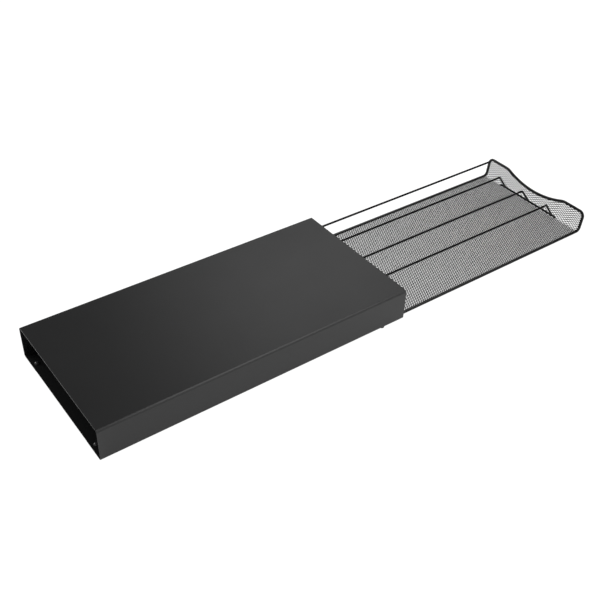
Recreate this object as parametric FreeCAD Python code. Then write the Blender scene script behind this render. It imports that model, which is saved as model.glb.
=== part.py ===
import FreeCAD, Part

import math
import os

# A flat sheet-steel sleeve, open at both ends, with an expanded-metal tray that slides in it.
#
# Frame: millimetres, +Z up. +X is the way the tray pulls out, +Y is the side with the rail.
# Every piece is drawn about the middle of the sleeve, with the tray closed. The tray is then
# pulled out by tray_pull, and the whole object is set with the middle of its footprint, sleeve
# and pulled-out tray together, at the origin, on the surface that the rubber feet stand on.

V = FreeCAD.Vector
X_AXIS = V(1, 0, 0)
Y_AXIS = V(0, 1, 0)
Z_AXIS = V(0, 0, 1)

# ---------------------------------------------------------------- driving sizes: sleeve
sleeve_length = 482.6
sleeve_width = 228.6
sleeve_height = 50.8
sheet = 1.0
sleeve_bend_radius = 3.5
return_width = 38.0
base_bend_clearance = 0.3

foot_radius = 4.0
foot_height = 4.5
foot_chamfer = 0.5
foot_end_inset = 34.5
front_foot_side_inset = 7.5
rear_foot_side_inset = 14.0

stop_end_inset = 7.0
stop_side_inset = 26.0
stop_head_radius = 3.2
stop_head_height = 2.8
stop_crown_radius = 1.9
stop_crown_drop = 0.5
stop_shank_radius = 1.6
stop_hole_clearance = 0.1

# ---------------------------------------------------------------- driving sizes: tray
tray_end_setback = 2.3
tray_side_clearance = 4.0
running_gap = 0.3
tray_pull = 400.0

rim_width = 4.6
rim_thickness = 2.8
mesh_thickness = 0.6
mesh_grip = 3.0

wall_height = 36.8
wall_lean = 6.0
fold_radius = 7.0
dip_depth = 13.0
dip_radius = 155.0
shoulder_radius = 32.0
wall_corner_radius = 11.0

floor_opening_long = 48.0
floor_opening_short = 22.5
floor_strand_width = 4.2
wall_opening_long = 24.0
wall_opening_short = 11.25
wall_strand_width = 2.4
opening_border = 2.5

wire_radius = 1.7
lane_count = 4
divider_height = 32.0
divider_leg_run = 23.0
divider_bend_radius = 3.0
cross_wire_near_overhang = 7.0
cross_wire_far_overhang = 13.0
weld_gap = 0.05
rail_height = 27.5

# ---------------------------------------------------------------- derived places
sleeve_bottom = foot_height
sleeve_inner_half = sleeve_width / 2 - sheet
base_bottom = sleeve_bottom + sheet
base_top = base_bottom + sheet
sleeve_inner_radius = sleeve_bend_radius - sheet

tray_bottom = base_top + running_gap
tray_half_width = sleeve_inner_half - tray_side_clearance
tray_half_length = sleeve_length / 2 - tray_end_setback
rim_inner_half = tray_half_width - rim_width
mesh_half_width = rim_inner_half + mesh_grip
mesh_middle = tray_bottom + rim_thickness / 2
mesh_top = mesh_middle + mesh_thickness / 2

lean = math.radians(wall_lean)
fold_end_reach = fold_radius * math.cos(lean)
fold_end_rise = fold_radius * (1 - math.sin(lean))
wall_foot_height = mesh_middle - tray_bottom + fold_end_rise
wall_length = (wall_height - wall_foot_height - rim_thickness / 2 * math.sin(lean)) / math.cos(lean)
floor_half_length = (tray_half_length - rim_thickness / 2 * math.cos(lean)
                     - wall_length * math.sin(lean) - fold_end_reach)
fold_centre_height = mesh_middle + fold_radius

arcs_apart = dip_radius + shoulder_radius
shoulder_middle = math.sqrt(arcs_apart ** 2 - (arcs_apart - dip_depth) ** 2)
dip_turn = math.asin(shoulder_middle / arcs_apart)

nest_radius = fold_radius - mesh_thickness / 2 - wire_radius - weld_gap
nest_angle = math.radians(15)
cross_wire_reach = floor_half_length + nest_radius * math.sin(nest_angle)
cross_wire_height = fold_centre_height - nest_radius * math.cos(nest_angle)
lane_pitch = 2 * (tray_half_width - rim_width / 2) / lane_count
divider_top = tray_bottom + divider_height
rail_middle = tray_bottom + rail_height

tray_reach = tray_pull + tray_half_length
sleeve_middle = -(tray_reach - sleeve_length / 2) / 2


# ---------------------------------------------------------------- helpers
def box(low, high):
    """A box from its lowest to its highest corner."""
    size = V(*high) - V(*low)
    return Part.makeBox(size.x, size.y, size.z, V(*low))


def polygon(points):
    """A planar face with straight sides."""
    return Part.Face(Part.makePolygon(points + points[:1]))


def rounded_tube_face(half_width, bottom, top, radius):
    """A rectangle with four rounded corners, in the YZ plane at X = 0."""
    left, right = -half_width, half_width
    diagonal = radius * (1 - math.sqrt(0.5))
    corners = [
        ((right - radius, bottom), (right - diagonal, bottom + diagonal), (right, bottom + radius)),
        ((right, top - radius), (right - diagonal, top - diagonal), (right - radius, top)),
        ((left + radius, top), (left + diagonal, top - diagonal), (left, top - radius)),
        ((left, bottom + radius), (left + diagonal, bottom + diagonal), (left + radius, bottom)),
    ]
    edges = []
    for index, (start, middle, end) in enumerate(corners):
        next_start = corners[(index + 1) % len(corners)][0]
        edges.append(Part.Arc(V(0, *start), V(0, *middle), V(0, *end)).toShape())
        edges.append(Part.makeLine(V(0, *end), V(0, *next_start)))
    return Part.Face(Part.Wire(edges))


def write(name, *solids):
    """Write one node, as one solid or as a group of separate solids, in the object's frame."""
    shape = solids[0].copy() if len(solids) == 1 else Part.makeCompound(solids)
    shape.translate(X_AXIS * sleeve_middle)
    shape.exportStep(os.path.join("parts", name + ".step"))


# ---------------------------------------------------------------- sleeve
def stop_places():
    """The two rear stops, one near each long side, at the rear end of the sleeve."""
    x = -sleeve_length / 2 + stop_end_inset
    y = sleeve_width / 2 - stop_side_inset
    return [V(x, -y, 0), V(x, y, 0)]


def drill_stops(plate):
    """Cut the holes that the stops' shanks pass through."""
    for place in stop_places():
        hole = Part.makeCylinder(stop_shank_radius + stop_hole_clearance, base_top + sheet, place)
        plate = plate.cut(hole)
    return plate


def make_sleeve_shell():
    """One bent sheet: top, two sides and two bottom returns that leave the middle open."""
    outer = rounded_tube_face(sleeve_width / 2, sleeve_bottom, sleeve_bottom + sleeve_height,
                              sleeve_bend_radius)
    inner = rounded_tube_face(sleeve_inner_half, base_bottom, sleeve_bottom + sleeve_height - sheet,
                              sleeve_inner_radius)
    section = outer.cut(inner)
    shell = section.extrude(X_AXIS * sleeve_length)
    shell.translate(V(-sleeve_length / 2, 0, 0))
    gap_half = sleeve_width / 2 - return_width
    gap = box((-sleeve_length, -gap_half, 0), (sleeve_length, gap_half, base_bottom + sheet / 2))
    return drill_stops(shell.cut(gap))


def make_sleeve_base():
    """The flat bottom sheet. It lies on the returns, between the lower bends."""
    half = sleeve_inner_half - sleeve_inner_radius - base_bend_clearance
    plate = box((-sleeve_length / 2, -half, base_bottom), (sleeve_length / 2, half, base_top))
    return drill_stops(plate)


def make_stop_rivet(place):
    """A rivet: its domed head stands on the base, its shank is closed flush under the return."""
    outline = [
        V(0, 0, base_top + stop_head_height),
        V(stop_crown_radius, 0, base_top + stop_head_height - stop_crown_drop),
        V(stop_head_radius, 0, base_top),
        V(stop_shank_radius, 0, base_top),
        V(stop_shank_radius, 0, sleeve_bottom),
        V(0, 0, sleeve_bottom),
    ]
    rivet = polygon(outline).revolve(V(0, 0, 0), Z_AXIS, 360)
    rivet.translate(place)
    return rivet


def make_foot(end, side, side_inset):
    """A round rubber bumper, bonded under a return, with a chamfer round its underside."""
    centre = V(end * (sleeve_length / 2 - foot_end_inset), side * (sleeve_width / 2 - side_inset), 0)
    foot = Part.makeCylinder(foot_radius, foot_height, centre)
    underside = [edge for edge in foot.Edges if edge.BoundBox.ZMax < foot_chamfer]
    return foot.makeChamfer(foot_chamfer, underside)


# ---------------------------------------------------------------- tray: shared outline
def end_outline(inset):
    """The face of an end wall, moved inwards by inset, drawn flat with Y across and Z up.

    The top edge dips in one wide arc between two level shoulders. A tangent arc rounds each
    shoulder into the dip. Z is measured along the wall from where the fold ends.
    """
    half = tray_half_width - inset
    top = wall_length - inset
    corner = wall_corner_radius - inset
    shoulder = shoulder_radius - inset
    dip = dip_radius + inset
    dip_middle = wall_length - dip_depth + dip_radius

    def on_circle(y, z, radius, angle):
        return V(0, y + radius * math.cos(angle), z + radius * math.sin(angle))

    up = math.pi / 2
    corner_arc = [on_circle(half - corner, top - corner, corner, a) for a in (0, up / 2, up)]
    shoulder_arc = [on_circle(shoulder_middle, top - shoulder, shoulder, up + part * dip_turn)
                    for part in (0, 0.5, 1)]
    dip_arc = [on_circle(0, dip_middle, dip, -up + part * dip_turn) for part in (1, 0, -1)]
    right = [corner_arc, shoulder_arc]
    left = [[V(0, -p.y, p.z) for p in reversed(arc)] for arc in reversed(right)]

    edges = []
    last = V(0, half, 0)
    for arc in right + [dip_arc] + left:
        if last.distanceToPoint(arc[0]) > 1e-6:
            edges.append(Part.makeLine(last, arc[0]))
        edges.append(Part.Arc(*arc).toShape())
        last = arc[2]
    edges.append(Part.makeLine(last, V(0, -half, 0)))
    edges.append(Part.makeLine(V(0, -half, 0), V(0, half, 0)))
    return Part.Face(Part.Wire(edges))


def wall_top_at(y):
    """How high the end wall's outline is at a place across the tray."""
    across = abs(y)
    if across >= shoulder_middle:
        return wall_length
    if across <= dip_radius * math.sin(dip_turn):
        return wall_length - dip_depth + dip_radius - math.sqrt(dip_radius ** 2 - across ** 2)
    from_level = shoulder_middle - across
    return wall_length - shoulder_radius + math.sqrt(shoulder_radius ** 2 - from_level ** 2)


def stand_front_wall(flat):
    """Carry a wall drawn flat at X = 0 to the front end: lean it out and set it on the fold."""
    wall = flat.copy()
    wall.rotate(V(0, 0, 0), Y_AXIS, wall_lean)
    wall.translate(V(floor_half_length + fold_end_reach, 0, mesh_middle + fold_end_rise))
    return wall


def fold_strip(inner_y, outer_y, thickness):
    """The part of a strip that bends up from the floor into the front wall."""
    centre = V(floor_half_length, inner_y, fold_centre_height)
    width = outer_y - inner_y
    outside = Part.makeCylinder(fold_radius + thickness / 2, width, centre, Y_AXIS)
    inside = Part.makeCylinder(fold_radius - thickness / 2, width, centre, Y_AXIS)
    reach = 2 * fold_radius
    wedge = polygon([
        centre,
        centre - Z_AXIS * reach,
        centre + V(reach, 0, -reach),
        centre + V(reach * math.cos(lean), 0, -reach * math.sin(lean)),
    ]).extrude(Y_AXIS * width)
    return outside.cut(inside).common(wedge)


def at_rear(shape):
    """The rear end of the tray mirrors the front end."""
    return shape.mirror(V(0, 0, 0), X_AXIS)


# ---------------------------------------------------------------- tray: mesh
def diamond(centre, across, along):
    """One diamond opening; across and along are its half diagonals as vectors."""
    return Part.makePolygon([centre + across, centre + along, centre - across, centre - along,
                             centre + across])


def lattice(pitch_long, pitch_short, strand, half_width, low, high, fits, place):
    """Staggered diamonds, long way across the tray, wherever a whole one fits.

    fits and place take where an opening is, across and along, and its half diagonals: the
    half pitch less half a strand, measured square to the strand.
    """
    slope = math.hypot(pitch_long, pitch_short)
    half_across = pitch_long / 2 - strand / 2 * slope / pitch_short
    half_along = pitch_short / 2 - strand / 2 * slope / pitch_long
    step = pitch_short / 2
    rows = int((high - low) / step)
    columns = int(half_width / pitch_long) + 1
    wires = []
    for row in range(-rows, rows + 1):
        along = (low + high) / 2 + row * step
        shift = pitch_long / 2 if row % 2 else 0
        for column in range(-columns, columns + 1):
            across = column * pitch_long + shift
            if fits(across, along, half_across, half_along):
                wires.append(place(across, along, half_across, half_along))
    return wires


def make_floor_mesh():
    """The flat floor, gripped by the rim along both long sides."""
    edge_y = rim_inner_half - opening_border
    edge_x = floor_half_length - opening_border

    def fits(y, x, half_across, half_along):
        return abs(y) + half_across <= edge_y and abs(x) + half_along <= edge_x

    def place(y, x, half_across, half_along):
        return diamond(V(x, y, mesh_middle), Y_AXIS * half_across, X_AXIS * half_along)

    holes = lattice(floor_opening_long, floor_opening_short, floor_strand_width,
                    edge_y, -edge_x, edge_x, fits, place)
    corners = [(-1, -1), (1, -1), (1, 1), (-1, 1), (-1, -1)]
    edge = Part.makePolygon([V(end * floor_half_length, side * mesh_half_width, mesh_middle)
                             for end, side in corners])
    floor = Part.Face([edge] + holes).extrude(Z_AXIS * mesh_thickness)
    floor.translate(Z_AXIS * (-mesh_thickness / 2))
    return floor


def make_wall_blank():
    """The front wall of mesh without its openings, with the fold below it."""
    flat = end_outline(rim_width - mesh_grip).extrude(X_AXIS * mesh_thickness)
    flat.translate(X_AXIS * (-mesh_thickness / 2))
    fold = fold_strip(-mesh_half_width, mesh_half_width, mesh_thickness)
    return stand_front_wall(flat).fuse(fold).removeSplitter()


def make_front_wall_mesh():
    """The front wall of mesh with its openings."""
    edge_y = rim_inner_half - opening_border
    cover = rim_width + opening_border

    def fits(y, z, half_across, half_along):
        lowest_top = min(wall_top_at(abs(y) - half_across / 2), wall_top_at(y))
        clear_of_side = abs(y) + half_across <= edge_y
        return clear_of_side and z >= half_along and z + half_along <= lowest_top - cover

    def place(y, z, half_across, half_along):
        return diamond(V(-mesh_thickness, y, z), Y_AXIS * half_across, Z_AXIS * half_along)

    wires = lattice(wall_opening_long, wall_opening_short, wall_strand_width,
                    edge_y, 0, wall_length - cover, fits, place)
    holes = [Part.Face(wire).extrude(X_AXIS * 2 * mesh_thickness) for wire in wires]
    return make_wall_blank().cut(stand_front_wall(Part.makeCompound(holes)))


# ---------------------------------------------------------------- tray: rim
def make_rim():
    """The folded steel hem: one closed band along the floor's sides and over both end walls.

    The mesh edge is gripped in a slot in the middle of its thickness.
    """
    flat = end_outline(0).cut(end_outline(rim_width)).extrude(X_AXIS * rim_thickness)
    flat.translate(X_AXIS * (-rim_thickness / 2))
    front = [stand_front_wall(flat)]
    sides = []
    for side in (-1, 1):
        low, high = sorted((side * rim_inner_half, side * tray_half_width))
        front.append(fold_strip(low, high, rim_thickness))
        sides.append(box((-floor_half_length, low, tray_bottom),
                         (floor_half_length, high, tray_bottom + rim_thickness)))
    band = sides[0].fuse(sides[1:] + front + [at_rear(shape) for shape in front]).removeSplitter()
    floor = box((-floor_half_length, -mesh_half_width, mesh_middle - mesh_thickness / 2),
                (floor_half_length, mesh_half_width, mesh_top))
    wall = make_wall_blank()
    return band.cut([floor, wall, at_rear(wall)])


# ---------------------------------------------------------------- tray: wires
def bent_wire(points, radius, bend_radius):
    """A round wire in a plane of constant Y: straight runs joined by tangent bends."""
    pieces = []
    last = points[0]
    for before, corner, after in zip(points, points[1:], points[2:]):
        to_before = (before - corner).normalize()
        to_after = (after - corner).normalize()
        half_angle = to_before.getAngle(to_after) / 2
        reach = bend_radius / math.tan(half_angle)
        start = corner + to_before * reach
        centre = corner + (to_before + to_after).normalize() * (bend_radius / math.sin(half_angle))
        pieces.append(Part.makeCylinder(radius, last.distanceToPoint(start), last, start - last))
        section = Part.Face(Part.Wire(Part.makeCircle(radius, start, to_before)))
        turn = 180 - 2 * math.degrees(half_angle)
        axis = to_after.cross(to_before)
        pieces.append(section.revolve(centre, axis, turn))
        last = corner + to_after * reach
    end = points[-1]
    pieces.append(Part.makeCylinder(radius, last.distanceToPoint(end), last, end - last))
    return pieces[0].fuse(pieces[1:]).removeSplitter()


def make_divider(y):
    """A wire lane divider: a level run with a sloping leg down to the cross wire at each end."""
    foot_height_cut = cross_wire_height + wire_radius
    leg_rise = divider_top - cross_wire_height
    overrun = 2 * wire_radius
    slope = divider_leg_run / leg_rise
    below = cross_wire_height - overrun
    points = [
        V(-cross_wire_reach - overrun * slope, y, below),
        V(-cross_wire_reach + divider_leg_run, y, divider_top),
        V(cross_wire_reach - divider_leg_run, y, divider_top),
        V(cross_wire_reach + overrun * slope, y, below),
    ]
    wire = bent_wire(points, wire_radius, divider_bend_radius)
    far = 2 * sleeve_length
    return wire.cut(box((-far, -far, -far), (far, far, foot_height_cut)))


def make_cross_wire():
    """A short straight wire lying in the front fold, under the feet of the dividers."""
    low = -lane_pitch - cross_wire_near_overhang
    length = 2 * lane_pitch + cross_wire_near_overhang + cross_wire_far_overhang
    return Part.makeCylinder(wire_radius, length, V(cross_wire_reach, low, cross_wire_height), Y_AXIS)


def make_side_rail(rim):
    """A straight wire between the upright rims of the end walls, on the +Y side."""
    y = tray_half_width - rim_width / 2
    reach = floor_half_length + fold_end_reach + (rail_middle - mesh_middle - fold_end_rise) * math.tan(lean)
    rail = Part.makeCylinder(wire_radius, 2 * reach, V(-reach, y, rail_middle), X_AXIS)
    pieces = rail.cut(rim).Solids
    return max(pieces, key=lambda solid: solid.Volume)


# ---------------------------------------------------------------- build
def pulled(shape):
    """Carry a tray piece from the closed place to the pulled-out place."""
    moved = shape.copy()
    moved.translate(X_AXIS * tray_pull)
    return moved


def main():
    os.makedirs("parts", exist_ok=True)

    write("sleeve_shell", make_sleeve_shell())
    write("sleeve_base", make_sleeve_base())
    write("rear_stop_rivets", *[make_stop_rivet(place) for place in stop_places()])
    for end_name, end, inset in (("front", 1, front_foot_side_inset), ("rear", -1, rear_foot_side_inset)):
        for side_name, side in (("near", -1), ("far", 1)):
            write("foot_%s_%s" % (end_name, side_name), make_foot(end, side, inset))

    rim = make_rim()
    front_wall = make_front_wall_mesh()
    cross_wire = make_cross_wire()
    write("tray_rim", pulled(rim))
    write("tray_floor_mesh", pulled(make_floor_mesh()))
    write("front_wall_mesh", pulled(front_wall))
    write("rear_wall_mesh", pulled(at_rear(front_wall)))
    write("side_rail", pulled(make_side_rail(rim)))
    write("front_cross_wire", pulled(cross_wire))
    write("rear_cross_wire", pulled(at_rear(cross_wire)))
    for name, place in (("near", -1), ("middle", 0), ("far", 1)):
        write("divider_" + name, pulled(make_divider(place * lane_pitch)))


main()
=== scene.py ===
"""Sliding mesh tray in a flat steel sleeve: fine shapes, finishes and a plain studio.

The solid model gives every place and main size. This file adds what the solids keep simple: the
bent sheet of the sleeve with its coated edges, the expanded metal with its real small diamonds,
the folded hem that grips it, domed rivets and rubber feet, and a powder-coat finish on all of it,
the wires included. Each piece, or group of like pieces, has its own operator.

Lengths are metres in the solid model's frame: +X is the way the tray pulls out, +Y is the side
with the rail, +Z is up, and the feet stand at Z = 0.
"""

import math

import bpy
import numpy as np
from bpy.props import FloatProperty, FloatVectorProperty, IntProperty, PointerProperty
from mathutils import Matrix, Vector


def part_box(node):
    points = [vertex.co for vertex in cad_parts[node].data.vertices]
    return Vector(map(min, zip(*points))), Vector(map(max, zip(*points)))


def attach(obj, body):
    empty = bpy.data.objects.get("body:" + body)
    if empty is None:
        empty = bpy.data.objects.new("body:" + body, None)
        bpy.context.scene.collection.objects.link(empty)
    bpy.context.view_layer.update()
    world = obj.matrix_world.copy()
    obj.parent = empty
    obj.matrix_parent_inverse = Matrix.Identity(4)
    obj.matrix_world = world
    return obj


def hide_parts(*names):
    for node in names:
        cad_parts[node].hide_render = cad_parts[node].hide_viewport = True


bl_info = {
    "name": "Sliding mesh tray",
    "version": (1, 0, 0),
    "blender": (4, 5, 0),
    "location": "3D View > Sidebar > Mesh tray",
    "description": "Dresses a sliding mesh tray and its steel sleeve",
    "category": "Object",
}

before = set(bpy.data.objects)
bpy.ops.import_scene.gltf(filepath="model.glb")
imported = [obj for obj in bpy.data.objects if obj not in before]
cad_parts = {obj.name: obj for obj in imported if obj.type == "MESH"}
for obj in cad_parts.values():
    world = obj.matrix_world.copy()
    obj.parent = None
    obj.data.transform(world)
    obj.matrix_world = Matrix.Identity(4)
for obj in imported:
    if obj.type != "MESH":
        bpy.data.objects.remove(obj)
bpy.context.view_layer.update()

MM = 0.001
# A short straight step beside a bend, which keeps the shading of the flat next to it true.
FLAT_STEP = 0.3 * MM
# Edges that turn by more than this stay sharp in the shading of a smooth piece.
SHARP_SHEET = math.radians(35)
SHARP_RIVET = math.radians(40)
SHARP_FOOT = math.radians(45)
# Each light: where it hangs, the point that it faces, and its size in two directions.
LIGHTS = {
    "key": ((1.6, 1.95, 1.9), (1.6, 1.95, 0.0), (1.7, 1.4)),
    "fill": ((-1.8, -0.8, 1.0), (-0.3, 0.0, 0.02), (1.4, 1.4)),
    "ceiling": ((0.65, -0.65, 1.7), (0.65, -0.65, 0.0), (1.2, 2.3)),
    "front": ((1.0, -2.0, 0.75), (1.0, 0.0, 0.75), (2.2, 1.3)),
    "rim": ((-1.35, 1.25, 0.8), (-0.44, 0.0, 0.05), (1.2, 0.9)),
}


# ---------------------------------------------------------------- sizes and colours
class SleeveSizes(bpy.types.PropertyGroup):
    """The bent steel sheet of the sleeve."""

    sheet: FloatProperty(
        name="Sheet", description="Thickness of the sleeve's steel sheet",
        default=1.0 * MM, unit="LENGTH", precision=5)
    bend: FloatProperty(
        name="Bend", description="Outside radius of the four long bends",
        default=3.5 * MM, unit="LENGTH", precision=5)
    lip: FloatProperty(
        name="Return", description="How far the two bottom returns reach in from the sides",
        default=38.0 * MM, unit="LENGTH", precision=5)
    edge: FloatProperty(
        name="Coated edge", description="Radius that the coat gives to a cut edge of the sheet",
        default=0.45 * MM, unit="LENGTH", precision=5)


class MeshSizes(bpy.types.PropertyGroup):
    """The expanded metal of the floor and of the two end walls."""

    diamond_long: FloatProperty(
        name="Long pitch", description="One diamond, across the tray",
        default=8.3 * MM, unit="LENGTH", precision=5)
    diamond_short: FloatProperty(
        name="Short pitch", description="One diamond, along the tray",
        default=3.9 * MM, unit="LENGTH", precision=5)
    strand_width: FloatProperty(
        name="Strand width", description="Width of one strand of the mesh",
        default=0.95 * MM, unit="LENGTH", precision=5)
    strand_thickness: FloatProperty(
        name="Strand thickness", description="Thickness of one strand, with its coat",
        default=0.45 * MM, unit="LENGTH", precision=5)
    strand_tilt: FloatProperty(
        name="Strand tilt", description="How far stretching the sheet turns the strands up",
        default=math.radians(14), subtype="ANGLE")
    knuckle: FloatProperty(
        name="Knuckle", description="Length over which two neighbouring strands are joined",
        default=0.8 * MM, unit="LENGTH", precision=5)
    knuckle_lap: FloatProperty(
        name="Knuckle lap", description="How far a strand reaches into its neighbour at a knuckle",
        default=0.02 * MM, unit="LENGTH", precision=5)
    side_inset: FloatProperty(
        name="Side inset", description="How far the mesh ends inside the hem's edge at the sides",
        default=2.6 * MM, unit="LENGTH", precision=5)
    top_inset: FloatProperty(
        name="Top inset", description="How far the mesh ends inside the hem's edge on a wall",
        default=2.3 * MM, unit="LENGTH", precision=5)


class TraySizes(bpy.types.PropertyGroup):
    """How the tray's sheet is bent, the shape of its end walls and the hem round its edge."""

    fold: FloatProperty(
        name="Fold", description="Radius of the fold between the floor and an end wall",
        default=7.0 * MM, unit="LENGTH", precision=5)
    lean: FloatProperty(
        name="Lean", description="How far an end wall leans out",
        default=math.radians(6), subtype="ANGLE")
    dip_depth: FloatProperty(
        name="Dip depth", description="Depth of the finger dip in an end wall",
        default=13.0 * MM, unit="LENGTH", precision=5)
    dip_radius: FloatProperty(
        name="Dip radius", description="Radius of the one wide arc of the dip",
        default=155.0 * MM, unit="LENGTH", precision=5)
    shoulder: FloatProperty(
        name="Shoulder", description="Radius that rounds a level shoulder into the dip",
        default=32.0 * MM, unit="LENGTH", precision=5)
    corner: FloatProperty(
        name="Corner", description="Radius of the top corners of an end wall",
        default=11.0 * MM, unit="LENGTH", precision=5)
    hem_width: FloatProperty(
        name="Hem width", description="Width of the folded hem, in the plane of the mesh",
        default=4.6 * MM, unit="LENGTH", precision=5)
    hem_thickness: FloatProperty(
        name="Hem thickness", description="Thickness of the folded hem, over the mesh it grips",
        default=2.8 * MM, unit="LENGTH", precision=5)
    hem_groove: FloatProperty(
        name="Hem groove", description="Opening between the hem's lips, where the mesh goes in",
        default=0.9 * MM, unit="LENGTH", precision=5)
    hem_mouth: FloatProperty(
        name="Hem mouth", description="How deep the groove between the hem's lips is",
        default=1.2 * MM, unit="LENGTH", precision=5)
    hem_lip: FloatProperty(
        name="Hem lip", description="Radius that rounds the cut end of a lip",
        default=0.25 * MM, unit="LENGTH", precision=5)


class SmallPartSizes(bpy.types.PropertyGroup):
    """The rivets and the rubber feet."""

    rivet_head: FloatProperty(
        name="Rivet head", description="Radius of a stop rivet's head",
        default=3.2 * MM, unit="LENGTH", precision=5)
    rivet_height: FloatProperty(
        name="Rivet height", description="Height of a stop rivet's head",
        default=2.8 * MM, unit="LENGTH", precision=5)
    rivet_skirt: FloatProperty(
        name="Rivet skirt", description="Height of the upright rim under the head's dome",
        default=0.5 * MM, unit="LENGTH", precision=5)
    rivet_shank: FloatProperty(
        name="Rivet shank", description="Radius of a stop rivet's shank",
        default=1.6 * MM, unit="LENGTH", precision=5)
    foot_dimple: FloatProperty(
        name="Foot dimple", description="Depth of the moulding dimple under a foot",
        default=0.5 * MM, unit="LENGTH", precision=5)
    foot_edge: FloatProperty(
        name="Foot edge", description="Radius of the rounded edge of a foot",
        default=0.5 * MM, unit="LENGTH", precision=5)
    foot_ring: FloatProperty(
        name="Foot ring", description="Width of the flat ring that a foot stands on",
        default=0.5 * MM, unit="LENGTH", precision=5)
    dimple_slope: FloatProperty(
        name="Dimple slope", description="Width of the slope from the ring down into the dimple",
        default=0.3 * MM, unit="LENGTH", precision=5)
    segments: IntProperty(
        name="Segments", description="Faces round a rivet or a foot",
        default=48, min=12, max=96)


class CoatColours(bpy.types.PropertyGroup):
    """Colours of the finishes, and the gloss of the powder coat."""

    sleeve: FloatVectorProperty(
        name="Sleeve", description="Powder coat of the sleeve", subtype="COLOR", size=4,
        min=0, max=1, default=(0.0085, 0.0086, 0.0088, 1))
    tray: FloatVectorProperty(
        name="Tray", description="Powder coat of the mesh and the hem", subtype="COLOR", size=4,
        min=0, max=1, default=(0.007, 0.007, 0.0071, 1))
    wire: FloatVectorProperty(
        name="Wire", description="Powder coat of the wires", subtype="COLOR", size=4,
        min=0, max=1, default=(0.004, 0.004, 0.0042, 1))
    rivet: FloatVectorProperty(
        name="Rivet", description="Paint on the rivets", subtype="COLOR", size=4,
        min=0, max=1, default=(0.04, 0.04, 0.041, 1))
    rubber: FloatVectorProperty(
        name="Rubber", description="Rubber of the feet", subtype="COLOR", size=4,
        min=0, max=1, default=(0.022, 0.0215, 0.021, 1))
    satin: FloatProperty(
        name="Satin", description="Roughness of the powder coat", default=0.33, min=0, max=1)
    rivet_gloss: FloatProperty(
        name="Rivet gloss", description="Roughness of the rivets' paint",
        default=0.2, min=0, max=1)


class StudioSettings(bpy.types.PropertyGroup):
    """The camera, the floor, the air and the power of the lights."""

    eye: FloatVectorProperty(
        name="Camera place", description="Where the camera stands", size=3, unit="LENGTH",
        subtype="TRANSLATION", default=(-0.7030, -0.8355, 0.8450))
    target: FloatVectorProperty(
        name="Camera target", description="Point that the camera looks at", size=3,
        unit="LENGTH", subtype="TRANSLATION", default=(-0.0776, -0.0225, 0.0313))
    roll: FloatProperty(
        name="Camera roll", description="How far the camera turns about its own line of sight",
        default=math.radians(2.36), subtype="ANGLE")
    lens: FloatProperty(
        name="Lens", description="Focal length of the camera, in millimetres", default=54.67)
    sensor: FloatProperty(
        name="Sensor", description="Width of the camera's sensor, in millimetres", default=36.0)
    floor_size: FloatProperty(
        name="Floor", description="Width of the square floor", default=14.0, unit="LENGTH")
    floor_glow: FloatProperty(
        name="Floor glow", description="Light of its own that the floor gives the object",
        default=0.36, min=0)
    sky: FloatProperty(
        name="Sky", description="Strength of the even light from all round", default=0.20, min=0)
    key: FloatProperty(
        name="Key light", description="Power of the large soft light, in watts",
        default=9.0, min=0)
    fill: FloatProperty(
        name="Fill light", description="Power of the soft light on the open rear end, in watts",
        default=2.5, min=0)
    ceiling: FloatProperty(
        name="Ceiling light", description="Power of the soft light over the near side, in watts",
        default=20.0, min=0)
    front: FloatProperty(
        name="Front light", description="Power of the soft light facing the near side, in watts",
        default=9.0, min=0)
    rim: FloatProperty(
        name="Rim light", description="Power of the low light behind the rear end, in watts",
        default=14.0, min=0)


# ---------------------------------------------------------------- helpers
def centre(low, high):
    """The middle of a box."""
    return (np.array(low) + np.array(high)) / 2


def mesh_object(name, points, faces, crease=None):
    """An object at the origin from an array of points and an array of faces.

    With crease, shading is smooth except across edges that turn by more than that angle.
    """
    points = np.ascontiguousarray(points, dtype=np.float32).reshape(-1, 3)
    faces = np.ascontiguousarray(faces, dtype=np.int32)
    mesh = bpy.data.meshes.new(name)
    mesh.vertices.add(len(points))
    mesh.vertices.foreach_set("co", points.ravel())
    mesh.loops.add(faces.size)
    mesh.loops.foreach_set("vertex_index", faces.ravel())
    mesh.polygons.add(len(faces))
    mesh.polygons.foreach_set("loop_start", np.arange(len(faces), dtype=np.int32) * faces.shape[1])
    mesh.polygons.foreach_set("use_smooth", np.full(len(faces), crease is not None))
    mesh.update(calc_edges=True)
    if mesh.validate():
        raise RuntimeError(name + " has faces that the mesh can't hold")
    if crease is not None:
        mesh.set_sharp_from_angle(angle=crease)
    piece = bpy.data.objects.new(name, mesh)
    bpy.context.scene.collection.objects.link(piece)
    return piece


def loop_quads(rings, sides, closed_path):
    """Faces of a profile of so many sides carried through so many rings."""
    steps = rings if closed_path else rings - 1
    ring = np.arange(steps)[:, None]
    side = np.arange(sides)[None, :]
    here, there = ring * sides, (ring + 1) % rings * sides
    after = (side + 1) % sides
    corners = (here + side, here + after, there + after, there + side)
    return np.stack(np.broadcast_arrays(*corners), -1).reshape(-1, 4)


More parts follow.
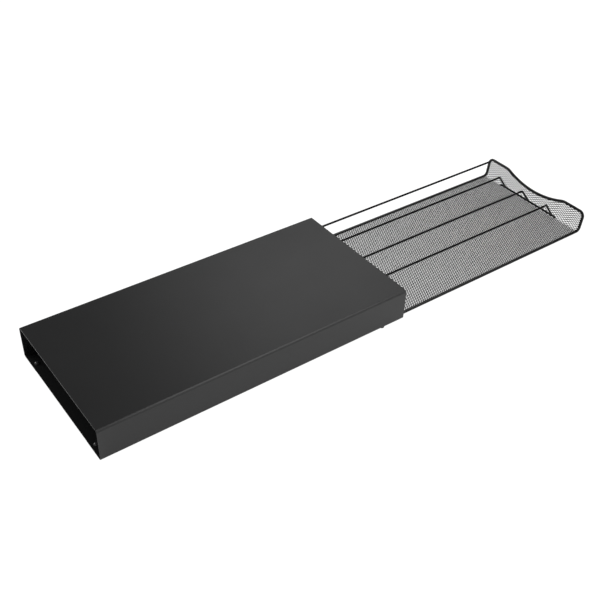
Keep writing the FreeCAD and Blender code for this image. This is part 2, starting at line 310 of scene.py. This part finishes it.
def turned(radii, heights, places, segments):
    """Points and faces of one profile turned about a vertical axis at each place.

    A point is place + (radius cos a, radius sin a, height), with a once round. The profile starts
    and ends on the axis.
    """
    angle = np.arange(segments) * 2 * math.pi / segments
    rim = np.stack([np.cos(angle), np.sin(angle)], -1)
    flat = radii[1:-1, None, None] * rim[None]
    height = np.broadcast_to(heights[1:-1, None, None], flat.shape[:2] + (1,))
    body = np.concatenate([flat, height], -1).reshape(-1, 3)
    ends = np.array([[0, 0, heights[0]], [0, 0, heights[-1]]])
    shape = np.concatenate([body, ends])

    rings = len(radii) - 2
    side = np.arange(segments)
    after = (side + 1) % segments
    quads = loop_quads(rings, segments, False)
    last = (rings - 1) * segments
    first_pole, last_pole = len(body), len(body) + 1
    start = np.stack([np.full(segments, first_pole), after, side], -1)
    finish = np.stack([np.full(segments, last_pole), last + side, last + after], -1)
    triangles = np.concatenate([start, finish, quads[:, [0, 1, 2]], quads[:, [0, 2, 3]]])

    count = len(places)
    points = shape[None] + np.array(places)[:, None, :]
    faces = triangles[None] + np.arange(count)[:, None, None] * len(shape)
    return points.reshape(-1, 3), faces.reshape(-1, 3)


def quarter(steps):
    """Cosines and sines of angles from 0 to a quarter turn."""
    angle = np.linspace(0, math.pi / 2, steps)
    return np.cos(angle), np.sin(angle)


# ---------------------------------------------------------------- the sleeve's bent sheet
def sleeve_section(sizes, half_width, bottom, top, trim):
    """The sleeve's section, as an array of (across, height): the outside, then the inside.

    The middle of the sheet runs from the free edge of one bottom return, round a quarter circle,
    up the side, round another and over the top to the middle; the other half mirrors it. Outside
    and inside lie half the sheet either way, less trim, which also shortens the returns. A short
    straight step at both ends of each bend keeps the shading of the flats true.
    """
    cos, sin = quarter(steps=9)
    radius = sizes.bend - sizes.sheet / 2
    across, low, high = half_width - sizes.bend, bottom + sizes.bend, top - sizes.bend
    free = half_width - sizes.lip + trim
    one = np.concatenate([
        [[free, low - radius, 0, -1], [across - FLAT_STEP, low - radius, 0, -1]],
        np.stack([across + radius * sin, low - radius * cos, sin, -cos], -1),
        [[across + radius, low + FLAT_STEP, 1, 0], [across + radius, high - FLAT_STEP, 1, 0]],
        np.stack([across + radius * cos, high + radius * sin, cos, sin], -1),
        [[across - FLAT_STEP, high + radius, 0, 1]]])
    line = np.concatenate([one, one[::-1] * np.array([-1, 1, -1, 1])])
    half_sheet = sizes.sheet / 2 - trim
    outside = line[:, :2] + half_sheet * line[:, 2:]
    inside = line[:, :2] - half_sheet * line[:, 2:]
    return np.concatenate([outside, inside[::-1]])


def sleeve_sheet(name, sizes):
    """The sleeve's section carried along X, its cut ends rounded by the coat.

    Over the last coated-edge radius, at an angle a the section is trimmed by
    radius (1 - sin a) and lies radius (1 - cos a) in from the end.
    """
    low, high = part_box("sleeve_shell")
    half_width = (high[1] - low[1]) / 2
    cos, sin = quarter(steps=5)
    inset = np.append(sizes.edge * (1 - cos), sizes.edge + FLAT_STEP)
    trims = np.append(sizes.edge * (1 - sin), 0)
    sections = np.stack([sleeve_section(sizes, half_width, low[2], high[2], trim)
                         for trim in trims])
    sections = np.concatenate([sections, sections[::-1]])
    along = np.concatenate([low[0] + inset, (high[0] - inset)[::-1]])
    along = np.broadcast_to(along[:, None, None], sections.shape[:2] + (1,))
    points = np.concatenate([along, sections], -1)
    rings, sides = points.shape[:2]
    walls = loop_quads(rings, sides, False)
    outer = np.arange(sides // 2 - 1)
    inner = sides - 1 - outer
    cap = np.stack([outer, inner, inner - 1, outer + 1], -1)
    tail = (rings - 1) * sides
    faces = np.concatenate([walls, cap, tail + cap[:, ::-1]])
    return mesh_object(name, points, faces, SHARP_SHEET)


# ---------------------------------------------------------------- the tray's bent sheet
class TraySheet:
    """The tray's one sheet, floor and both end walls, measured flat and then folded up."""

    def __init__(self, sizes):
        low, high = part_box("tray_floor_mesh")
        rim_low, rim_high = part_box("tray_rim")
        self.middle = centre(low, high)
        self.floor_half = (high[0] - low[0]) / 2
        self.half_width = (rim_high[1] - rim_low[1]) / 2
        self.fold = sizes.fold
        self.turn = math.pi / 2 - sizes.lean
        wall_foot = self.middle[2] + self.fold * (1 - math.cos(self.turn))
        rim_lift = sizes.hem_thickness / 2 * math.sin(sizes.lean)
        self.wall_length = (rim_high[2] - rim_lift - wall_foot) / math.cos(sizes.lean)
        self.wall_start = self.floor_half + self.fold * self.turn
        self.full_half = self.wall_start + self.wall_length
        self.dip_depth = sizes.dip_depth
        self.dip_radius = sizes.dip_radius
        self.shoulder = sizes.shoulder
        self.corner = sizes.corner
        arcs_apart = self.dip_radius + self.shoulder
        self.shoulder_middle = math.sqrt(arcs_apart ** 2 - (arcs_apart - self.dip_depth) ** 2)
        self.tangent = self.shoulder_middle * self.dip_radius / arcs_apart

    def place(self, across, along, proud):
        """Points of the sheet folded up.

        along follows the sheet from the tray's middle: flat over the floor, round an arc of the
        fold's radius, then straight up the leaning wall, alike at both ends. proud is the height
        off the sheet's middle, on the side that holds things.
        """
        across, along, proud = np.broadcast_arrays(across, along, proud)
        run = np.abs(along)
        bend = np.clip((run - self.floor_half) / self.fold, 0, self.turn)
        wall = np.clip(run - self.wall_start, 0, None)
        reach = (np.minimum(run, self.floor_half) + (self.fold - proud) * np.sin(bend)
                 + wall * math.cos(self.turn))
        rise = self.fold - (self.fold - proud) * np.cos(bend) + wall * math.sin(self.turn)
        return np.stack([self.middle[0] + np.copysign(reach, along),
                         self.middle[1] + across,
                         self.middle[2] + rise], -1)

    def edge_drop(self, across):
        """How far a wall's edge lies below its highest line, and that drop's slope along +Y.

        In the dip the drop is depth - radius + sqrt(radius^2 - across^2). Near a shoulder it is
        shoulder - sqrt(shoulder^2 - distance^2), with distance from where the level starts.
        """
        run = np.abs(across)
        in_dip = np.minimum(run, self.tangent)
        dip = np.sqrt(self.dip_radius ** 2 - in_dip ** 2)
        from_level = np.clip(self.shoulder_middle - run, 0, self.shoulder_middle - self.tangent)
        shoulder = np.sqrt(self.shoulder ** 2 - from_level ** 2)
        drop = np.where(run < self.tangent, self.dip_depth - self.dip_radius + dip,
                        self.shoulder - shoulder)
        fall = np.where(run < self.tangent, in_dip / dip, from_level / shoulder)
        return drop, -fall * np.sign(across)

    def edge_limit(self, across):
        """How far along the sheet a wall's edge lies, rounded top corners included."""
        drop, _ = self.edge_drop(across)
        past = np.clip(np.abs(across) - (self.half_width - self.corner), 0, self.corner)
        round_off = self.corner - np.sqrt(self.corner ** 2 - past ** 2)
        return self.full_half - drop - round_off

    def outline(self):
        """The sheet's closed outer edge, and the outward direction at each point, laid flat.

        From the middle of the +Y side: along the side and up the wall, a quarter circle, the
        waved top, a quarter circle, and back. The other half is this one turned by half a turn.
        """
        floor_points, fold_points, wall_points, crest_points = 24, 14, 5, 70
        cos, sin = quarter(steps=11)
        half, top = self.half_width, self.full_half
        side_along = np.concatenate([
            np.linspace(0, self.floor_half - FLAT_STEP, floor_points), [self.floor_half],
            np.linspace(self.floor_half, self.wall_start, fold_points)[1:],
            [self.wall_start + FLAT_STEP],
            np.linspace(self.wall_start, top - self.corner, wall_points)[1:-1]])
        side = np.stack([np.full_like(side_along, half), side_along,
                         np.ones_like(side_along), np.zeros_like(side_along)], -1)
        turn = np.stack([half - self.corner + self.corner * cos,
                         top - self.corner + self.corner * sin, cos, sin], -1)
        across = np.linspace(half - self.corner, 0, crest_points)[1:]
        drop, slope = self.edge_drop(across)
        length = np.hypot(1, slope)
        crest = np.stack([across, top - drop, slope / length, 1 / length], -1)
        first = np.concatenate([side, turn, crest])
        mirror = first[::-1][1:-1] * np.array([-1, 1, -1, 1])
        front = np.concatenate([first, mirror, first[:1] * np.array([-1, 1, -1, 1])])
        loop = np.concatenate([front[:-1], -front[:-1]])
        return loop[:, :2], loop[:, 2:]


def strand_mesh(name, sheet, sizes, first, last):
    """Expanded metal between two places along the sheet, as strands that run across the tray.

    Strand k lies at (k + 1/2) half short pitches along the sheet, plus a swing times a wave. The
    wave goes from 1 to -1 over half a long pitch and rests at each for the length of a knuckle,
    the other way round on every second strand. The strand is a flat bar turned up by the tilt,
    and drops by the same wave, so that two neighbours meet edge to edge.
    """
    step = sizes.diamond_short / 2
    half_pitch = sizes.diamond_long / 2
    rows = np.arange(math.ceil(first / step - 0.5), math.floor(last / step - 0.5) + 1)
    gripped = sheet.half_width - sizes.side_inset
    knuckles = np.arange(-math.ceil(gripped / half_pitch), math.ceil(gripped / half_pitch) + 1)
    ends = np.array([-sizes.knuckle / 2, sizes.knuckle / 2])
    across = np.unique(np.clip(knuckles[:, None] * half_pitch + ends, -gripped, gripped))

    phase = across[None] / half_pitch + rows[:, None]
    nearest = np.round(phase)
    level = 0.5 - sizes.knuckle / 2 / half_pitch
    wave = np.clip((0.5 - np.abs(phase - nearest)) / level, 0, 1) * (1 - 2 * (nearest % 2))

    half_bar = sizes.strand_width / 2
    cos, sin = math.cos(sizes.strand_tilt), math.sin(sizes.strand_tilt)
    swing = sizes.diamond_short / 4 - half_bar * cos + sizes.knuckle_lap
    corners = np.array([[-1, -1], [1, -1], [1, 1], [-1, 1]])
    bar = corners * [half_bar, sizes.strand_thickness / 2]
    bar_along = bar[:, 0] * cos - bar[:, 1] * sin
    bar_proud = bar[:, 0] * sin + bar[:, 1] * cos

    along = (rows[:, None] + 0.5) * step + swing * wave
    limit = sheet.edge_limit(across)[None] - sizes.top_inset
    along = np.clip(along, -limit, limit)[..., None] + bar_along
    proud = (-half_bar * sin * wave)[..., None] + bar_proud
    points = sheet.place(across[None, :, None], along, proud)

    columns = len(across)
    quads = loop_quads(columns, 4, False)
    tail = (columns - 1) * 4
    caps = np.array([[3, 2, 1, 0], [tail, tail + 1, tail + 2, tail + 3]])
    one = np.concatenate([quads[:, ::-1], caps[:, ::-1]])
    faces = one[None] + np.arange(len(rows))[:, None, None] * columns * 4
    return mesh_object(name, points, faces.reshape(-1, 4))


def hem_profile(sizes):
    """The hem's section: one sheet folded round into two lips, with the mesh between them.

    The first number runs inwards from the folded edge and the second is the height. The folded
    edge is a half circle of the hem's thickness.
    """
    half = sizes.hem_thickness / 2
    lip = sizes.hem_lip
    cos, sin = quarter(steps=7)
    fold = np.stack([half - half * cos, half * sin], -1)
    small_cos, small_sin = quarter(steps=4)
    end = np.stack([sizes.hem_width - lip + lip * small_sin, half - lip + lip * small_cos], -1)
    groove = sizes.hem_groove / 2
    mouth = np.array([[sizes.hem_width, groove], [sizes.hem_width - sizes.hem_mouth, groove]])
    upper = np.concatenate([fold, end, mouth])
    lower = upper[::-1][:-1] * np.array([1, -1])
    return np.concatenate([upper, lower])


# ---------------------------------------------------------------- finishes
def new_group(name, inputs, outputs):
    """An empty shader node group with named sockets, given as (name, type, default)."""
    group = bpy.data.node_groups.new(name, "ShaderNodeTree")
    for title, kind, default in inputs:
        socket = group.interface.new_socket(name=title, in_out="INPUT", socket_type=kind)
        socket.default_value = default
    for title, kind in outputs:
        group.interface.new_socket(name=title, in_out="OUTPUT", socket_type=kind)
    start = group.nodes.new("NodeGroupInput")
    end = group.nodes.new("NodeGroupOutput")
    return group, start, end


def maths(nodes, links, operation, first, second, clamp=False):
    """A Math node whose inputs are sockets or plain numbers."""
    node = nodes.new("ShaderNodeMath")
    node.operation = operation
    node.use_clamp = clamp
    for index, value in enumerate((first, second)):
        if isinstance(value, (int, float)):
            node.inputs[index].default_value = value
        else:
            links.new(value, node.inputs[index])
    return node.outputs[0]


def noise(nodes, links, place, scale, detail=2.0, roughness=0.5):
    """A Noise Texture read at a place, with scale as a socket or a number."""
    node = nodes.new("ShaderNodeTexNoise")
    node.inputs["Detail"].default_value = detail
    node.inputs["Roughness"].default_value = roughness
    links.new(place, node.inputs["Vector"])
    if isinstance(scale, (int, float)):
        node.inputs["Scale"].default_value = scale
    else:
        links.new(scale, node.inputs["Scale"])
    return node.outputs["Fac"]


def powder_coat_group():
    """Powder coat: orange peel, fine grit, cloudy colour and gloss, and a few dust specks.

    Scales are in features to a metre. Cloud and grain are noises less a half, so that they darken
    as much as they lighten; a dust speck is where its noise rises over a level.
    """
    cloud_scale, dust_scale = 9.0, 900.0
    grain_depth = 0.3
    dust_level, dust_gain, dust_grey = 0.72, 9.0, (0.16, 0.155, 0.15, 1)
    cloud_in_gloss, grain_in_gloss = 0.6, 0.25
    peel_height, grit_height = 0.75, 0.25
    group, start, end = new_group(
        "Powder coat",
        [("Coat", "NodeSocketColor", (0.03, 0.03, 0.03, 1)),
         ("Roughness", "NodeSocketFloat", 0.45),
         ("Peel Scale", "NodeSocketFloat", 420.0),
         ("Grit Scale", "NodeSocketFloat", 2600.0),
         ("Cloud", "NodeSocketFloat", 0.12),
         ("Dust", "NodeSocketFloat", 0.15)],
        [("Color", "NodeSocketColor"), ("Roughness", "NodeSocketFloat"),
         ("Height", "NodeSocketFloat")])
    nodes, links = group.nodes, group.links
    place = nodes.new("ShaderNodeTexCoord").outputs["Object"]

    peel = noise(nodes, links, place, start.outputs["Peel Scale"], 1.5, 0.4)
    grit = noise(nodes, links, place, start.outputs["Grit Scale"], 2.0, 0.6)
    cloud = noise(nodes, links, place, cloud_scale, 3.0, 0.55)
    speck = noise(nodes, links, place, dust_scale, 2.0, 0.7)

    lift = maths(nodes, links, "SUBTRACT", cloud, 0.5)
    shade = maths(nodes, links, "MULTIPLY", lift, start.outputs["Cloud"])
    grain = maths(nodes, links, "MULTIPLY",
                  maths(nodes, links, "SUBTRACT", grit, 0.5), grain_depth)
    factor = maths(nodes, links, "ADD", maths(nodes, links, "ADD", shade, grain), 1.0)
    tint = nodes.new("ShaderNodeMix")
    tint.data_type = "RGBA"
    tint.blend_type = "MULTIPLY"
    tint.inputs["Factor"].default_value = 1.0
    links.new(start.outputs["Coat"], tint.inputs["A"])
    links.new(factor, tint.inputs["B"])

    dusty = maths(nodes, links, "MULTIPLY",
                  maths(nodes, links, "SUBTRACT", speck, dust_level, True), dust_gain, True)
    amount = maths(nodes, links, "MULTIPLY", dusty, start.outputs["Dust"], True)
    dust = nodes.new("ShaderNodeMix")
    dust.data_type = "RGBA"
    links.new(amount, dust.inputs["Factor"])
    links.new(tint.outputs["Result"], dust.inputs["A"])
    dust.inputs["B"].default_value = dust_grey
    links.new(dust.outputs["Result"], end.inputs["Color"])

    haze = maths(nodes, links, "ADD", maths(nodes, links, "MULTIPLY", shade, cloud_in_gloss),
                 maths(nodes, links, "MULTIPLY", grain, grain_in_gloss))
    rough = maths(nodes, links, "ADD", start.outputs["Roughness"], haze, True)
    links.new(rough, end.inputs["Roughness"])

    height = maths(nodes, links, "ADD", maths(nodes, links, "MULTIPLY", peel, peel_height),
                   maths(nodes, links, "MULTIPLY", grit, grit_height))
    links.new(height, end.inputs["Height"])
    return group


def shared_group(name, build):
    """The node group of this name, built the first time it is asked for."""
    return bpy.data.node_groups.get(name) or build()


def coated(name, colour, roughness, values, bump, mirror=0.5):
    """A material with a powder-coat finish, with bump for its relief and mirror for its shine."""
    material = bpy.data.materials.new(name)
    material.use_nodes = True
    nodes, links = material.node_tree.nodes, material.node_tree.links
    shader = nodes["Principled BSDF"]
    coat = nodes.new("ShaderNodeGroup")
    coat.node_tree = shared_group("Powder coat", powder_coat_group)
    coat.inputs["Coat"].default_value = tuple(colour)
    coat.inputs["Roughness"].default_value = roughness
    for title, value in values.items():
        coat.inputs[title].default_value = value
    links.new(coat.outputs["Color"], shader.inputs["Base Color"])
    links.new(coat.outputs["Roughness"], shader.inputs["Roughness"])
    skin = nodes.new("ShaderNodeBump")
    skin.inputs["Strength"].default_value = bump
    skin.inputs["Distance"].default_value = 0.03 * MM
    links.new(coat.outputs["Height"], skin.inputs["Height"])
    links.new(skin.outputs["Normal"], shader.inputs["Normal"])
    shader.inputs["Specular IOR Level"].default_value = mirror
    return material


def rubber(name, colour):
    """Moulded rubber: matt, faintly blotched, with fine moulding grain."""
    blotch_scale, grain_scale = 260.0, 3200.0
    darkest, lightest = 0.8, 1.35
    matt, matt_spread = 0.68, 0.15
    material = bpy.data.materials.new(name)
    material.use_nodes = True
    nodes, links = material.node_tree.nodes, material.node_tree.links
    shader = nodes["Principled BSDF"]
    place = nodes.new("ShaderNodeTexCoord").outputs["Object"]
    blotch = noise(nodes, links, place, blotch_scale, 3.0)
    ramp = nodes.new("ShaderNodeMix")
    ramp.data_type = "RGBA"
    links.new(blotch, ramp.inputs["Factor"])
    ramp.inputs["A"].default_value = tuple(darkest * value for value in colour[:3]) + (1,)
    ramp.inputs["B"].default_value = tuple(lightest * value for value in colour[:3]) + (1,)
    links.new(ramp.outputs["Result"], shader.inputs["Base Color"])
    rough = maths(nodes, links, "ADD", maths(nodes, links, "MULTIPLY", blotch, matt_spread), matt)
    links.new(rough, shader.inputs["Roughness"])
    skin = nodes.new("ShaderNodeBump")
    skin.inputs["Strength"].default_value = 0.5
    skin.inputs["Distance"].default_value = 0.04 * MM
    links.new(noise(nodes, links, place, grain_scale), skin.inputs["Height"])
    links.new(skin.outputs["Normal"], shader.inputs["Normal"])
    return material


def finish_of(name, make):
    """The material of this name, made the first time it is asked for."""
    return bpy.data.materials.get(name) or make(name)


def sleeve_coat(name):
    """The satin coat of the sleeve, a little cloudy and dusty."""
    coats = bpy.context.scene.tray_coats
    return coated(name, coats.sleeve, coats.satin, {"Cloud": 0.16, "Dust": 0.10}, bump=0.35)


def hem_coat(name):
    """The hem's coat, smoother than the sleeve's."""
    coats = bpy.context.scene.tray_coats
    return coated(name, coats.tray, coats.satin - 0.04, {"Peel Scale": 700.0},
                  bump=0.4, mirror=0.3)


def mesh_coat(name):
    """The mesh's coat, with a peel as fine as its strands."""
    coats = bpy.context.scene.tray_coats
    return coated(name, coats.tray, coats.satin, {"Peel Scale": 1100.0, "Dust": 0.05},
                  bump=0.3, mirror=0.3)


def wire_coat(name):
    """The wires' coat, the darkest of all."""
    coats = bpy.context.scene.tray_coats
    return coated(name, coats.wire, coats.satin - 0.05, {"Peel Scale": 800.0, "Dust": 0.05},
                  bump=0.35, mirror=0.15)


def rivet_paint(name):
    """Glossy dark paint on the rivets."""
    coats = bpy.context.scene.tray_coats
    return coated(name, coats.rivet, coats.rivet_gloss, {"Peel Scale": 500.0, "Dust": 0.05},
                  bump=0.15)


def foot_rubber(name):
    """The rubber of the feet."""
    return rubber(name, bpy.context.scene.tray_coats.rubber)


def dress_node(node, material):
    """Give a solid of the model a finish."""
    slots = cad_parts[node].data.materials
    slots.clear()
    slots.append(material)


def settle(piece, body, slot, material, *nodes):
    """Join a new piece to its body, its finish and the solids that it stands for."""
    piece.data.materials.append(material)
    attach(piece, body)
    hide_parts(*nodes)


# ---------------------------------------------------------------- operators
class MESHTRAY_OT_sleeve(bpy.types.Operator):
    """Make the sleeve's bent sheet and coat its base"""

    bl_idname = "mesh_tray.sleeve"
    bl_label = "Sleeve"

    def execute(self, context):
        coat = finish_of("sleeve coat", sleeve_coat)
        piece = sleeve_sheet("sleeve_sheet", context.scene.tray_sleeve)
        settle(piece, "sleeve", "sleeve_coat", coat, "sleeve_shell")
        dress_node("sleeve_base", coat)
        return {"FINISHED"}


class MESHTRAY_OT_expanded_mesh(bpy.types.Operator):
    """Make the expanded metal of the floor and of both end walls"""

    bl_idname = "mesh_tray.expanded_mesh"
    bl_label = "Expanded mesh"

    def execute(self, context):
        sheet = TraySheet(context.scene.tray_sheet)
        sizes = context.scene.tray_mesh
        coat = finish_of("mesh coat", mesh_coat)
        floor, full = sheet.floor_half, sheet.full_half
        spans = {"floor": ("tray_floor_mesh", -floor, floor),
                 "front_wall": ("front_wall_mesh", floor, full),
                 "rear_wall": ("rear_wall_mesh", -full, -floor)}
        for title, (node, first, last) in spans.items():
            piece = strand_mesh("expanded_" + title, sheet, sizes, first, last)
            settle(piece, "tray", "mesh_coat", coat, node)
        return {"FINISHED"}


class MESHTRAY_OT_hem(bpy.types.Operator):
    """Make the folded hem that grips the mesh all the way round"""

    bl_idname = "mesh_tray.hem"
    bl_label = "Folded hem"

    def execute(self, context):
        sizes = context.scene.tray_sheet
        sheet = TraySheet(sizes)
        path, outward = sheet.outline()
        profile = hem_profile(sizes)
        flat = path[:, None] - outward[:, None] * profile[None, :, :1]
        points = sheet.place(flat[..., 0], flat[..., 1], profile[None, :, 1])
        faces = loop_quads(len(path), len(profile), True)
        piece = mesh_object("folded_hem", points, faces, SHARP_SHEET)
        settle(piece, "tray", "rim_coat", finish_of("hem coat", hem_coat), "tray_rim")
        return {"FINISHED"}


class MESHTRAY_OT_wires(bpy.types.Operator):
    """Coat the dividers, the cross wires and the side rail"""

    bl_idname = "mesh_tray.wires"
    bl_label = "Wires"

    def execute(self, context):
        coat = finish_of("wire coat", wire_coat)
        for node in ("divider_near", "divider_middle", "divider_far",
                     "front_cross_wire", "rear_cross_wire", "side_rail"):
            dress_node(node, coat)
        return {"FINISHED"}


class MESHTRAY_OT_rivets(bpy.types.Operator):
    """Make the two domed stop rivets"""

    bl_idname = "mesh_tray.rivets"
    bl_label = "Stop rivets"

    def execute(self, context):
        sizes = context.scene.tray_small
        low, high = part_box("rear_stop_rivets")
        across = (high[1] - low[1]) / 2 - sizes.rivet_head
        middle = centre(low, high)
        places = [(middle[0], middle[1] + side * across, low[2]) for side in (-1, 1)]
        shank_height = high[2] - low[2] - sizes.rivet_height
        cos, sin = quarter(steps=10)
        dome = sizes.rivet_height - sizes.rivet_skirt
        dome_radii = sizes.rivet_head * cos[::-1]
        dome_heights = shank_height + sizes.rivet_skirt + dome * sin[::-1]
        radii = np.concatenate([dome_radii, [sizes.rivet_head, sizes.rivet_shank],
                                [sizes.rivet_shank, 0]])
        heights = np.concatenate([dome_heights, [shank_height, shank_height], [0, 0]])
        points, faces = turned(radii, heights, places, sizes.segments)
        piece = mesh_object("stop_rivets", points, faces[:, ::-1], SHARP_RIVET)
        settle(piece, "sleeve", "rivet_steel", finish_of("rivet paint", rivet_paint),
               "rear_stop_rivets")
        return {"FINISHED"}


class MESHTRAY_OT_feet(bpy.types.Operator):
    """Make the four rubber feet"""

    bl_idname = "mesh_tray.feet"
    bl_label = "Rubber feet"

    def execute(self, context):
        sizes = context.scene.tray_small
        material = finish_of("foot rubber", foot_rubber)
        edge = sizes.foot_edge
        cos, sin = quarter(steps=6)
        for end in ("front", "rear"):
            for side in ("near", "far"):
                node = "foot_" + end + "_" + side
                low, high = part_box(node)
                middle = centre(low, high)
                place = (middle[0], middle[1], low[2])
                radius = (high[0] - low[0]) / 2
                height = high[2] - low[2]
                ring = radius - edge - sizes.foot_ring
                dimple = ring - sizes.dimple_slope
                radii = np.concatenate([[0, radius, radius], radius - edge + edge * cos,
                                        [ring, dimple, 0]])
                heights = np.concatenate([[height, height, edge + FLAT_STEP], edge - edge * sin,
                                          [0, sizes.foot_dimple, sizes.foot_dimple]])
                points, faces = turned(radii, heights, [place], sizes.segments)
                piece = mesh_object("rubber_" + node, points, faces[:, ::-1], SHARP_FOOT)
                settle(piece, "sleeve", "foot_rubber", material, node)
        return {"FINISHED"}


class MESHTRAY_OT_stage(bpy.types.Operator):
    """Set the pale floor, the soft lights and the camera"""

    bl_idname = "mesh_tray.stage"
    bl_label = "Studio"

    def execute(self, context):
        scene = context.scene
        studio = scene.tray_studio

        half = studio.floor_size / 2
        corners = half * np.array([[-1, -1, 0], [1, -1, 0], [1, 1, 0], [-1, 1, 0]])
        floor = mesh_object("floor", corners, np.array([[0, 1, 2, 3]]))
        floor.data.materials.append(self.pale_paper(studio.floor_glow))

        scene.world = self.studio_air(studio.sky)
        for name, (place, target, size) in LIGHTS.items():
            self.soft_light(name + " light", place, target, size, getattr(studio, name))

        camera_data = bpy.data.cameras.new("camera")
        camera_data.sensor_width = studio.sensor
        camera_data.lens = studio.lens
        camera_data.clip_start = 0.01
        camera = bpy.data.objects.new("camera", camera_data)
        scene.collection.objects.link(camera)
        roll = Matrix.Rotation(studio.roll, 4, "Z")
        camera.matrix_world = self.aimed(studio.eye, studio.target) @ roll
        scene.camera = camera
        scene.view_settings.view_transform = "Standard"
        return {"FINISHED"}

    def pale_paper(self, glow):
        """A matt floor: an even white to the camera, and plain pale paper to everything else.

        What the camera sees is nearly all glow, at full strength, so that no shadow greys it. All
        other rays see the paper's own grey and a weaker glow.
        """
        own_grey, grey_seen = 0.8, 0.12
        paper = bpy.data.materials.new("pale floor")
        paper.use_nodes = True
        nodes, links = paper.node_tree.nodes, paper.node_tree.links
        shader = nodes["Principled BSDF"]
        shader.inputs["Roughness"].default_value = 0.9
        shader.inputs["Specular IOR Level"].default_value = 0.0
        shader.inputs["Emission Color"].default_value = (1, 1, 1, 1)
        seen = nodes.new("ShaderNodeLightPath").outputs["Is Camera Ray"]
        links.new(maths(nodes, links, "MAXIMUM", seen, glow), shader.inputs["Emission Strength"])
        less = maths(nodes, links, "MULTIPLY", seen, own_grey - grey_seen)
        links.new(maths(nodes, links, "SUBTRACT", own_grey, less), shader.inputs["Base Color"])
        return paper

    def studio_air(self, strength):
        """A world that gives an even soft light, and that looks as white as the floor."""
        world = bpy.data.worlds.new("studio air")
        world.use_nodes = True
        nodes, links = world.node_tree.nodes, world.node_tree.links
        air = nodes["Background"]
        air.inputs["Color"].default_value = (1, 1, 1, 1)
        seen = nodes.new("ShaderNodeLightPath").outputs["Is Camera Ray"]
        links.new(maths(nodes, links, "MAXIMUM", seen, strength), air.inputs["Strength"])
        return world

    def aimed(self, place, target):
        """The matrix of a camera or a light that stands at a place and looks at a point."""
        sight = Vector(target) - Vector(place)
        return Matrix.Translation(place) @ sight.to_track_quat("-Z", "Y").to_matrix().to_4x4()

    def soft_light(self, name, place, target, size, power):
        """A large flat light that faces a point. Size is along X and Y when it faces down."""
        lamp = bpy.data.lights.new(name, "AREA")
        lamp.shape = "RECTANGLE"
        lamp.size, lamp.size_y = size
        lamp.energy = power
        light = bpy.data.objects.new(name, lamp)
        bpy.context.scene.collection.objects.link(light)
        light.matrix_world = self.aimed(place, target)


class MESHTRAY_PT_sidebar(bpy.types.Panel):
    """Lists the pieces of the mesh tray"""

    bl_idname = "MESHTRAY_PT_sidebar"
    bl_label = "Mesh tray"
    bl_space_type = "VIEW_3D"
    bl_region_type = "UI"
    bl_category = "Mesh tray"

    def draw(self, context):
        for operator in OPERATORS:
            self.layout.operator(operator.bl_idname)
        for settings in GROUPS:
            box = self.layout.box()
            values = getattr(context.scene, settings)
            for title in values.__annotations__:
                box.prop(values, title)


OPERATORS = (
    MESHTRAY_OT_sleeve,
    MESHTRAY_OT_expanded_mesh,
    MESHTRAY_OT_hem,
    MESHTRAY_OT_wires,
    MESHTRAY_OT_rivets,
    MESHTRAY_OT_feet,
    MESHTRAY_OT_stage,
)
GROUPS = {
    "tray_sleeve": SleeveSizes,
    "tray_mesh": MeshSizes,
    "tray_sheet": TraySizes,
    "tray_small": SmallPartSizes,
    "tray_coats": CoatColours,
    "tray_studio": StudioSettings,
}


def register():
    """Register the settings, the operators and the panel."""
    for name, settings in GROUPS.items():
        bpy.utils.register_class(settings)
        setattr(bpy.types.Scene, name, PointerProperty(type=settings))
    for part in OPERATORS + (MESHTRAY_PT_sidebar,):
        bpy.utils.register_class(part)


def unregister():
    """Take the panel, the operators and the settings away again."""
    for part in (MESHTRAY_PT_sidebar,) + OPERATORS[::-1]:
        bpy.utils.unregister_class(part)
    for name, settings in reversed(GROUPS.items()):
        delattr(bpy.types.Scene, name)
        bpy.utils.unregister_class(settings)


def main():
    """Register the settings, then make every piece in order."""
    register()
    bpy.ops.mesh_tray.sleeve()
    bpy.ops.mesh_tray.expanded_mesh()
    bpy.ops.mesh_tray.hem()
    bpy.ops.mesh_tray.wires()
    bpy.ops.mesh_tray.rivets()
    bpy.ops.mesh_tray.feet()
    bpy.ops.mesh_tray.stage()


if __name__ == "__main__":
    main()
